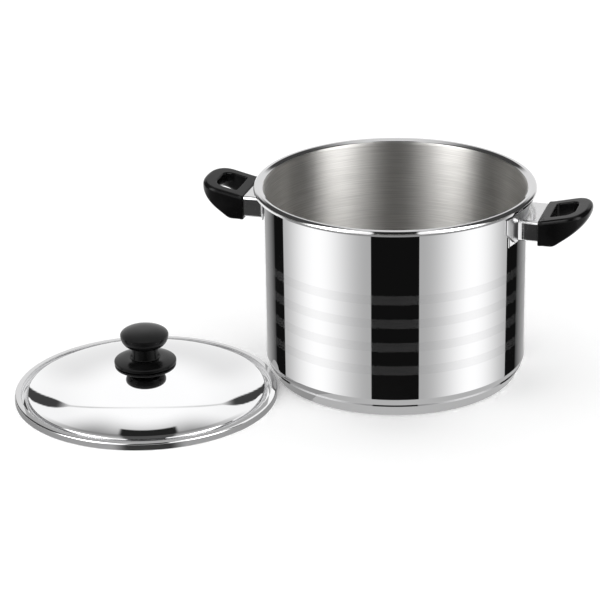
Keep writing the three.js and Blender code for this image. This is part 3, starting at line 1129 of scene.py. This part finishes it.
@dataclass
class LidWithKnob:
    """Pressed lid, with the knob, its heat guard and its screw."""

    middle: Point = (-0.20335, -0.11978)
    radius: float = 0.1195
    sheet: float = 0.0008
    height: float = 0.033
    flange_height: float = 0.007
    flange_width: float = 0.0058
    flange_edge: float = 0.0014
    groove_width: float = 0.0044
    groove_depth: float = 0.0048
    groove_radius: float = 0.0012
    groove_ridge: float = 0.0007
    shoulder: float = 0.006
    shoulder_height: float = 0.0037
    hole: float = 0.0024
    skirt_radius: float = 0.0282
    skirt_low: float = 0.0333
    skirt_top: float = 0.0376
    skirt_edge: float = 0.0012
    skirt_flat: float = 0.0145
    skirt_droop: Point = (0.0015, 0.0028)
    skirt_steps: int = 8
    seat: float = 0.0379
    neck_radius: float = 0.0127
    neck_flare: float = 0.0011
    flare_height: float = 0.0022
    neck_top: float = 0.0483
    knob_radius: float = 0.0219
    widest: float = 0.059
    crown: float = 0.007
    crown_power: float = 0.8
    insert_hole: Point = (0.0048, 0.0502)
    washer: tuple[Point, Point] = ((0.0024, 0.0309), (0.0065, 0.0319))
    washer_edges: Point = (0.0001, 0.0003)
    washer_facets: int = 64
    screw: SocketScrew = field(
        default_factory=lambda: SocketScrew(-0.0484, -0.0306, -0.0282, 0.002, 0.0042, 0.0017, 0.0013)
    )
    facets: int = 240
    knob_facets: int = 128

    def build(self, finishes: Finishes) -> None:
        """Build every piece of the lid."""
        pan = turned(self._pan(), self.facets)
        self._add("pressing", pan, finishes.mirror, "lid_pan", Slot.POLISHED)
        skirt = turned(self._skirt(), self.knob_facets)
        self._add("skirt", skirt, finishes.bakelite, "knob_skirt", Slot.BAKELITE)
        knob = turned(self._knob(), self.knob_facets)
        self._add("knob", knob, finishes.bakelite, "knob_grip", Slot.BAKELITE)
        screw = self.screw.shape()
        bmesh.ops.transform(screw, matrix=Matrix.Rotation(math.pi, 4, "X"), verts=screw.verts)
        self._add("pan_screw", screw, finishes.zinc, "knob_screw", Slot.ZINC)
        washer = turned(rounded_rectangle(*self.washer, self.washer_edges, 3), self.washer_facets)
        self._add("flat_washer", washer, finishes.zinc, "knob_washer", Slot.ZINC)
        finish_node("knob_insert", finishes.brass)

    def _add(self, word: str, shape: BMesh, finish: Material, node: str, slot: Slot) -> None:
        """Move a shape to the lid's place and make it a piece."""
        bmesh.ops.translate(shape, verts=shape.verts, vec=(*self.middle, 0.0))
        piece(f"lid_{word}", shape, [finish], Body.LID, [node], slot)

    def _pan(self) -> Outline:
        """Outline of the pan: flange, groove, shoulder and dome."""
        groove_out = self.radius - self.flange_width
        groove_in = groove_out - self.groove_width
        groove_low = self.flange_height - self.groove_depth
        shoulder_middle = groove_in - self.shoulder
        rise = self.height - self.shoulder_height
        dome = (shoulder_middle**2 + rise**2 - self.shoulder**2) / (2 * (rise - self.shoulder))
        edge = math.degrees(math.acos(shoulder_middle / (dome - self.shoulder)))
        top = math.degrees(math.acos(self.hole / dome))
        low = groove_low + self.groove_radius
        ridge = self.groove_ridge
        flange = (self.radius - self.flange_edge, self.flange_height - self.flange_edge)
        skin = (
            [(self.radius, 0.0)]
            + arc(flange, self.flange_edge, 0, 90, 8)
            + arc((groove_out + ridge, self.flange_height - ridge), ridge, 90, 180, 5)
            + arc((groove_out - self.groove_radius, low), self.groove_radius, 0, -90, 6)
            + arc((groove_in + self.groove_radius, low), self.groove_radius, -90, -180, 6)
            + arc((shoulder_middle, self.shoulder_height), self.shoulder, 0, edge, 14)
            + arc((0.0, self.height - dome), dome, edge, top, 40)[1:]
        )
        return sheet_outline(skin, self.sheet)

    def _skirt(self) -> Outline:
        """Outline of the heat guard under the knob, whose rim droops after the dome."""
        rim = self.skirt_radius - self.skirt_edge
        steps = self.skirt_steps
        flat = [self.hole] + [mixed(self.skirt_flat, rim, step / steps) for step in range(steps)]
        outline = (
            [(radius, self.skirt_low) for radius in flat]
            + arc((rim, self.skirt_low + self.skirt_edge), self.skirt_edge, -90, 0, 6)
            + arc((rim, self.skirt_top - self.skirt_edge), self.skirt_edge, 0, 90, 6)
            + [(radius, self.skirt_top) for radius in reversed(flat)]
        )
        points: Outline = []
        for radius, height in outline:
            share = max(radius - self.skirt_flat, 0.0) / (self.skirt_radius - self.skirt_flat)
            up = (height - self.skirt_low) / (self.skirt_top - self.skirt_low)
            points.append((radius, height - mixed(*self.skirt_droop, up) * share**2))
        return points

    def _knob(self) -> Outline:
        """Outline of the knob: flared foot, neck, bowl and low crown."""
        bowl_height = self.widest - self.neck_top
        swell = self.knob_radius - self.neck_radius
        bowl = [
            (self.neck_radius + swell * x, self.widest + bowl_height * y)
            for x, y in arc((0.0, 0.0), 1.0, -90, 0, 20)
        ]
        crown = [
            (self.knob_radius * max(x, 0.0) ** self.crown_power, self.widest + self.crown * y)
            for x, y in arc((0.0, 0.0), 1.0, 0, 90, 24)
        ]
        hole_radius, hole_top = self.insert_hole
        foot = self.neck_radius + self.neck_flare
        return (
            [(0.0, hole_top), (hole_radius, hole_top), (hole_radius, self.seat), (foot, self.seat)]
            + [(self.neck_radius, self.seat + self.flare_height)]
            + bowl
            + crown[1:-1]
            + [(0.0, self.widest + self.crown)]
        )


# Studio


def stage_object(name: str, shape: BMesh, material: Material) -> Object:
    """Make a shape part of the studio, which isn't part of the object.

    Args:
        name: Name of the new object.
        shape: The mesh, in the row frame. It is used up.
        material: Its material.

    Returns:
        The new object.
    """
    made = new_object(name, shape)
    made.data.materials.append(material)
    return made


class MirrorCard:
    """A card under way that only reflections show, with a brightness at each of its corners."""

    layer = "level"
    merge_distance = 1e-6

    def __init__(self, name: str) -> None:
        """Begin an empty card."""
        self.name = name
        self.shape = bmesh.new()
        self.shine = self.shape.verts.layers.float.new(self.layer)

    def chain(self, places: Sequence[tuple[Sequence[float], float]]) -> list[BMEdge]:
        """Add an open chain of edges.

        Args:
            places: Corners along the chain, each with its brightness.

        Returns:
            The edges.
        """
        corners = []
        for place, level in places:
            corner = self.shape.verts.new(place)
            corner[self.shine] = level
            corners.append(corner)
        return [self.shape.edges.new(pair) for pair in zip(corners, corners[1:])]

    def span(self, *chains: list[BMEdge]) -> None:
        """Stretch the card between chains of edges, each to the next."""
        for first, second in zip(chains, chains[1:]):
            bmesh.ops.bridge_loops(self.shape, edges=first + second)

    def dome(self, lowest: float, rings: int, steps: int) -> None:
        """Spin a cap of the unit sphere, from a height in degrees up to its top."""
        rise = self.chain([((x, 0.0, z), 0.0) for x, z in arc((0.0, 0.0), 1.0, lowest, 90, rings)])
        spin_round(self.shape, [*self.shape.verts, *rise], steps)
        bmesh.ops.remove_doubles(self.shape, verts=self.shape.verts, dist=self.merge_distance)

    def shade(self, level: Callable[[Vector], float]) -> None:
        """Set each corner's brightness from its place."""
        for corner in self.shape.verts:
            corner[self.shine] = level(corner.co)

    def turn_front(self, ahead: Callable[[Vector], Vector]) -> None:
        """Turn each face's front the way that is ahead at its middle."""
        for face in self.shape.faces:
            face.normal_update()
            if face.normal.dot(ahead(face.calc_center_median())) < 0:
                face.normal_flip()

    def stand(self, matrix: Matrix, front: float | None = None) -> None:
        """Move the card to its place in the studio.

        Args:
            matrix: Where the card goes.
            front: Brightness of the faces' front, where only their back has that of the corners.
        """
        bmesh.ops.transform(self.shape, matrix=matrix, verts=self.shape.verts)
        material, graph = blank_material(f"{self.name}_tone")
        level = graph.add("ShaderNodeAttribute", {}, attribute_name=self.layer).outputs["Fac"]
        if front is not None:
            behind = graph.add("ShaderNodeNewGeometry", {}).outputs["Backfacing"]
            inputs = {"Value": behind, "To Min": front, "To Max": level}
            level = graph.add("ShaderNodeMapRange", inputs).outputs["Result"]
        shine = graph.add("ShaderNodeEmission", {"Strength": level})
        graph.add("ShaderNodeOutputMaterial", {"Surface": shine.outputs[0]})
        card = stage_object(self.name, self.shape, material)
        for ray in ("camera", "diffuse", "shadow", "transmission", "volume_scatter"):
            setattr(card, f"visible_{ray}", False)


def facing(turn: float, middle: Point = (0.0, 0.0)) -> Matrix:
    """Matrix to a point on the floor, turned by degrees round Z."""
    return Matrix.Translation((*middle, 0.0)) @ Matrix.Rotation(math.radians(turn), 4, "Z")


def bearing_and_height(place: Vector) -> tuple[float, float]:
    """Bearing from the front, to the right, and height above the floor, both in degrees."""
    bearing = math.degrees(math.atan2(place.x, -place.y))
    return bearing, math.degrees(math.asin(place.normalized().z))


def bearings(widest: float, half_steps: int) -> list[float]:
    """Bearings in even steps from the left of the front to the right."""
    return [widest * step / half_steps for step in range(-half_steps, half_steps + 1)]


def mirrored_place(radius: float, reach: float, bearing: float) -> Point:
    """Place on the floor plan that a round wall mirrors.

    Args:
        radius: Radius of the wall.
        reach: Distance from the wall.
        bearing: Bearing of the wall from its front, in degrees.

    Returns:
        The place, before the front is turned to the camera.
    """
    once, twice = math.radians(bearing), math.radians(2 * bearing)
    x = radius * math.sin(once) + reach * math.sin(twice)
    return x, -radius * math.cos(once) - reach * math.cos(twice)


@dataclass
class StripedScreen:
    """Screen round the front or the back of the pot, that its wall mirrors as upright stripes."""

    name: str = "front_screen"
    turn: float = 14.3
    radius: float = 0.12
    away: float = 0.012
    low: float = 0.0112
    high: float = 0.17
    handle_low: float = 0.138
    handle_bearing: float = 58.0
    widest: float = 80.0
    strip: float = 10.1
    left_dark: Point = (56.2, 64.5)
    right_dark: Point = (55.9, 65.4)
    peak: float = 35.0
    lobe_low: float = 0.5
    lobe_high: float = 1.27
    edge_levels: Point = (0.05, 0.5)
    dark_level: float = 0.006
    outer_level: float = 1.15
    half_steps: int = 320

    def level(self, bearing: float) -> float:
        """Brightness that the wall mirrors.

        Args:
            bearing: Bearing from the front of the wall, in degrees.

        Returns:
            The brightness.
        """
        off = abs(bearing)
        lobe_end, dark_end = self.right_dark if bearing > 0 else self.left_dark
        if off < self.strip or lobe_end < off < dark_end:
            return self.dark_level
        if off >= dark_end:
            angles = (dark_end, off, self.widest)
            start, here, end = (math.sin(math.radians(angle)) for angle in angles)
            return mixed(*self.edge_levels, (here - start) / (end - start))
        share = 0.5 + 0.5 * math.cos(math.pi * (off - self.peak) / (self.peak - self.strip))
        return mixed(self.lobe_low, self.lobe_high, share)

    def build(self) -> None:
        """Stand the screen where the wall's reflections cross it."""
        card = MirrorCard(self.name)
        rows: tuple[list, list] = ([], [])
        for bearing in bearings(self.widest, self.half_steps):
            x, y = mirrored_place(self.radius, self.away, bearing)
            top = self.handle_low if bearing > self.handle_bearing else self.high
            for row, z in zip(rows, (self.low, top)):
                row.append(((x, y, z), self.level(bearing)))
        card.span(*(card.chain(row) for row in rows))
        card.turn_front(lambda place: Vector((place.x, place.y, 0.0)))
        card.stand(facing(self.turn), self.outer_level)


@dataclass
class RingCard:
    """Card bent round the front of the pot, that its lip or its foot mirrors, with soft white ends."""

    name: str
    rims: tuple[Point, Point]
    level: float
    turn: float = 14.5
    widest: float = 66.0
    fade: float = 8.0
    end_level: float = 1.0
    steps: int = 96

    def build(self) -> None:
        """Stand the card between its two rims."""
        card = MirrorCard(self.name)
        chains = []
        for radius, height in self.rims:
            bend = arc((0.0, 0.0), radius, -90 - self.widest, -90 + self.widest, self.steps)
            chains.append(card.chain([((x, y, height), self.shade(x, y)) for x, y in bend]))
        card.span(*chains)
        card.stand(facing(self.turn))

    def shade(self, x: float, y: float) -> float:
        """Brightness at a place on the card, before it is turned."""
        off = math.degrees(abs(math.atan2(x, -y)))
        return mixed(self.level, self.end_level, ease(off, self.widest - self.fade, self.widest))


@dataclass
class FlangeFan:
    """Graded card on the floor round the front of the lid, that its flange mirrors."""

    turn: float = 20.7
    radius: float = 0.1195
    near: float = 0.0006
    far: float = 0.05
    above: float = 0.0004
    widest: float = 88.0
    strip: float = 12.5
    strip_soft: float = 4.0
    side_span: Point = (25.0, 65.0)
    dark_level: float = 0.05
    front_level: float = 0.42
    side_level: float = 0.34
    half_steps: int = 180

    def level(self, bearing: float) -> float:
        """Brightness that the flange mirrors.

        Args:
            bearing: Bearing from the front of the flange, in degrees.

        Returns:
            The brightness.
        """
        off = abs(bearing)
        lit = mixed(self.front_level, self.side_level, ease(off, *self.side_span))
        start, end = self.strip - self.strip_soft, self.strip + self.strip_soft
        return mixed(self.dark_level, lit, ease(off, start, end))

    def build(self, middle: Point) -> None:
        """Lay the card round the foot of the lid."""
        card = MirrorCard("flange_fan")
        rows: tuple[list, list] = ([], [])
        for bearing in bearings(self.widest, self.half_steps):
            for row, reach in zip(rows, (self.near, self.far)):
                place = (*mirrored_place(self.radius, reach, bearing), self.above)
                row.append((place, self.level(bearing)))
        card.span(*(card.chain(row) for row in rows))
        card.stand(facing(self.turn, middle))


@dataclass
class LidCover:
    """Graded cover over the dome of the lid, that the dome mirrors: white, with dark seams."""

    turn: float = 16.73
    radius: float = 0.112
    height: float = 0.09
    foot: float = 0.008
    outer_level: float = 0.46
    top_level: float = 1.25
    front_level: float = 0.3
    flank_level: float = 1.15
    back_level: float = 0.95
    foot_level: float = 0.6
    flank_span: Point = (30.0, 65.0)
    back_span: Point = (100.0, 130.0)
    low_span: Point = (61.0, 21.0)
    foot_span: Point = (6.0, 0.0)
    seam_tilt: float = 18.0
    seam_level: float = 1.03
    seam_fall: float = 0.85
    seam_dark: float = 0.06
    seam_thin: float = 0.014
    seam_thick: float = 0.09
    seam_soft: float = 0.01
    seam_fall_end: float = 0.6
    seam_widens: Point = (0.78, 0.95)
    seam_darkens: Point = (0.8, 0.9)
    gap_middle: float = 4.0
    gap_half: float = 17.0
    gap_spread: Point = (0.85, 1.35)
    gap_heights: Point = (8.0, 40.5)
    gap_soft: float = 1.5
    gap_top_soft: float = 0.75
    gap_foot: float = 2.0
    gap_level: float = 0.02
    below_gap: float = 0.1
    segments: tuple[int, int] = (120, 300)

    def level(self, place: Vector) -> float:
        """Brightness of the cover's inside.

        Args:
            place: Place on the cover, before it is scaled and turned.

        Returns:
            The brightness.
        """
        bearing, height = bearing_and_height(place)
        off = abs(bearing)
        flank = ease(off, *self.flank_span)
        low = mixed(self.front_level, self.flank_level, flank)
        low = mixed(low, self.back_level, ease(off, *self.back_span))
        level = mixed(self.top_level, low, ease(height, *self.low_span))
        level += (self.foot_level - low) * ease(height, *self.foot_span) * (1.0 - flank)
        tone, seam = self._seam(place)
        level = mixed(level, min(tone, level), seam)
        lowest, highest = self.gap_heights
        reach = self.gap_half * mixed(*self.gap_spread, (height - lowest) / (highest - lowest))
        aside = abs(bearing - self.gap_middle)
        gap = ease(aside, reach + self.gap_soft, reach - self.gap_soft)
        gap *= ease(height, highest + self.gap_top_soft, highest - self.gap_top_soft)
        dark = mixed(self.below_gap, self.gap_level, ease(height, lowest, lowest + self.gap_foot))
        return mixed(level, dark, gap)

    def _seam(self, place: Vector) -> Point:
        """Seam that runs over the cover from side to side.

        Args:
            place: Place on the cover, before it is scaled and turned.

        Returns:
            The seam's brightness there, and its share.
        """
        tilt = math.radians(self.seam_tilt)
        away = abs(place.y * math.cos(tilt) + place.z * math.sin(tilt))
        aside = abs(place.x)
        half = self.seam_thin + self.seam_thick * ease(aside, *self.seam_widens)
        tone = self.seam_level - self.seam_fall * min(aside, self.seam_fall_end) ** 2
        tone = mixed(tone, self.seam_dark, ease(aside, *self.seam_darkens))
        return tone, ease(away, half + self.seam_soft, half - self.seam_soft)

    def build(self, middle: Point) -> None:
        """Set the cover over the lid."""
        card = MirrorCard("lid_cover")
        card.dome(0.0, *self.segments)
        card.shade(self.level)
        card.turn_front(lambda place: place)
        size = Matrix.Diagonal((self.radius, self.radius, self.height, 1.0))
        place = Matrix.Translation((0.0, 0.0, self.foot)) @ facing(self.turn, middle) @ size
        card.stand(place, self.outer_level)


@dataclass
class Tent:
    """Graded tent round everything, that the lip, the handles and the inside of the pot mirror."""

    turn: float = 14.3
    radius: float = 3.0
    lobe_low: float = 1.4
    lobe_high: float = 5.6
    side_level: float = 0.06
    back_level: float = 0.85
    top_level: float = 0.75
    lobe_rise: Point = (28.0, 50.0)
    lobe_fall: Point = (82.0, 62.0)
    side_span: Point = (66.0, 82.0)
    back_span: Point = (160.0, 172.0)
    low_back_span: Point = (135.0, 150.0)
    low_back_heights: Point = (34.0, 26.0)
    top_heights: Point = (50.0, 72.0)
    top_asides: Point = (10.0, 22.0)
    gap_halves: Point = (19.0, 9.0)
    gap_bottom: Point = (1.0, 7.0)
    gap_top: Point = (93.5, 90.5)
    gap_soft: float = 1.0
    gap_level: float = 0.02
    segments: tuple[int, int] = (120, 240)

    def level(self, place: Vector) -> float:
        """Brightness of the tent.

        Args:
            place: Direction, before the tent is turned.

        Returns:
            The brightness.
        """
        bearing, height = bearing_and_height(place)
        off = abs(bearing)
        aside = math.degrees(math.asin(min(abs(place.normalized().x), 1.0)))
        lobe = ease(off, *self.lobe_rise) * ease(off, *self.lobe_fall)
        front = mixed(self.lobe_low, self.lobe_high, lobe)
        level = mixed(front, self.side_level, ease(off, *self.side_span))
        low_back = ease(off, *self.low_back_span) * ease(height, *self.low_back_heights)
        level = mixed(level, self.back_level, max(low_back, ease(off, *self.back_span)))
        top = mixed(self.top_level, self.side_level, ease(aside, *self.top_asides))
        level = mixed(level, top, ease(height, *self.top_heights))
        if place.y >= 0.0:
            return level
        half = mixed(*self.gap_halves, max(height, 0.0) / ZENITH)
        gap = ease(aside, half + self.gap_soft, half - self.gap_soft)
        gap *= ease(height, *self.gap_bottom) * ease(height, *self.gap_top)
        return mixed(level, self.gap_level, gap)

    def build(self) -> None:
        """Set the tent up."""
        card = MirrorCard("tent")
        card.dome(-90.0, *self.segments)
        card.shade(self.level)
        card.stand(facing(self.turn) @ Matrix.Scale(self.radius, 4))


@dataclass
class HandleCard:
    """Small card in front of a handle: dark towards its sleeve and grip, and white towards the front."""

    side: Side
    level: float
    end_level: float = 0.8
    ahead: float = -0.0312
    low: float = 0.138
    outs: Sequence[float] = (0.1215, 0.1366, 0.152, 0.182)
    tops: Sequence[float] = (0.1625, 0.1612, 0.1645, 0.171)
    front_level: float = 1.0

    def build(self) -> None:
        """Stand the card in front of the handle."""
        card = MirrorCard(f"{self.side.word}_handle_card")
        sign = math.cos(self.side.value)
        levels = [self.level] * (len(self.outs) - 1) + [self.end_level]
        lows = [self.low] * len(self.outs)
        chains = []
        for heights in (lows, self.tops):
            row = zip(self.outs, heights, levels)
            places = [((sign * out, self.ahead, z), level) for out, z, level in row]
            chains.append(card.chain(places))
        card.span(*chains)
        card.turn_front(lambda place: Vector((0.0, -1.0, 0.0)))
        card.stand(Matrix.Identity(4), self.front_level)


@dataclass
class Studio:
    """White floor and surroundings, cards for the steel to mirror, and the camera."""

    lid_middle: Point
    floor_half: float = 30.0
    floor_colour: Colour = (0.97, 0.97, 0.97)
    floor_glow: float = 0.14
    camera_place: tuple[float, float, float] = (0.51367, -2.01439, 0.92115)
    camera_pitch: float = 22.35
    camera_heading: float = 16.73
    camera_roll: float = -0.016
    lens: float = 145.79
    sensor: float = 36.0
    clip_end: float = 100.0

    def build(self) -> None:
        """Set up the floor, the light, the cards and the camera."""
        scene = bpy.context.scene
        scene.view_settings.view_transform = "Standard"
        self._world()
        self._floor()
        Tent().build()
        StripedScreen().build()
        StripedScreen("back_screen", StripedScreen.turn + 180.0).build()
        FlangeFan().build(self.lid_middle)
        LidCover().build(self.lid_middle)
        lip_rims = ((0.136, 0.167), (0.136, 0.1791))
        RingCard("lip_card", lip_rims, level=0.33, widest=58.0).build()
        # The foot card's grey is painted shade: a dim ring round the base that the cup and the rounded
        # foot mirror in place of the floor's contact shadow.
        foot_rims = ((0.1115, 0.0003), (0.2, 0.0003))
        RingCard("foot_card", foot_rims, level=0.54, widest=130.0, fade=40.0).build()
        HandleCard(Side.LEFT, level=0.045).build()
        HandleCard(Side.RIGHT, level=0.03).build()
        self._camera()

    def _world(self) -> None:
        """White surroundings at a plain level."""
        world = bpy.data.worlds.new("white_room")
        world.use_nodes = True
        background = world.node_tree.nodes["Background"]
        background.inputs["Color"].default_value = (1.0, 1.0, 1.0, 1.0)
        background.inputs["Strength"].default_value = 1.0
        bpy.context.scene.world = world

    def _floor(self) -> None:
        """White floor that keeps the contact shadows."""
        shape = bmesh.new()
        bmesh.ops.create_grid(shape, x_segments=1, y_segments=1, size=self.floor_half)
        material, graph = blank_material("white_floor")
        paint = graph.add("ShaderNodeBsdfDiffuse", {"Color": (*self.floor_colour, 1.0)})
        path = graph.add("ShaderNodeLightPath", {}).outputs
        seen = graph.math("MAXIMUM", path["Is Camera Ray"], path["Is Glossy Ray"])
        strength = graph.math("MULTIPLY", seen, self.floor_glow)
        shine = graph.add("ShaderNodeEmission", {"Strength": strength})
        both = graph.add("ShaderNodeAddShader", {0: paint.outputs[0], 1: shine.outputs[0]})
        graph.add("ShaderNodeOutputMaterial", {"Surface": both.outputs[0]})
        stage_object("floor", shape, material)

    def _camera(self) -> None:
        """Camera at the photograph's viewing angle."""
        data = bpy.data.cameras.new("viewpoint")
        data.lens = self.lens
        data.sensor_width = self.sensor
        data.sensor_fit = "HORIZONTAL"
        data.clip_end = self.clip_end
        camera = bpy.data.objects.new("viewpoint", data)
        bpy.context.scene.collection.objects.link(camera)
        aim = Euler((math.radians(90 - self.camera_pitch), 0.0, math.radians(self.camera_heading)))
        turn = aim.to_matrix() @ Matrix.Rotation(self.camera_roll, 3, "Z")
        camera.matrix_world = Matrix.Translation(self.camera_place) @ turn.to_4x4()
        bpy.context.scene.camera = camera


def main() -> None:
    """Build the studio, the pot, its handles and the lid."""
    logging.basicConfig(level=logging.INFO, format="%(name)s: %(message)s")
    lid = LidWithKnob()
    Studio(lid.middle).build()
    finishes = Finishes()
    PotVessel().build(finishes)
    for side in Side:
        SideHandle(side).build(finishes)
    lid.build(finishes)


if __name__ == "__main__":
    main()
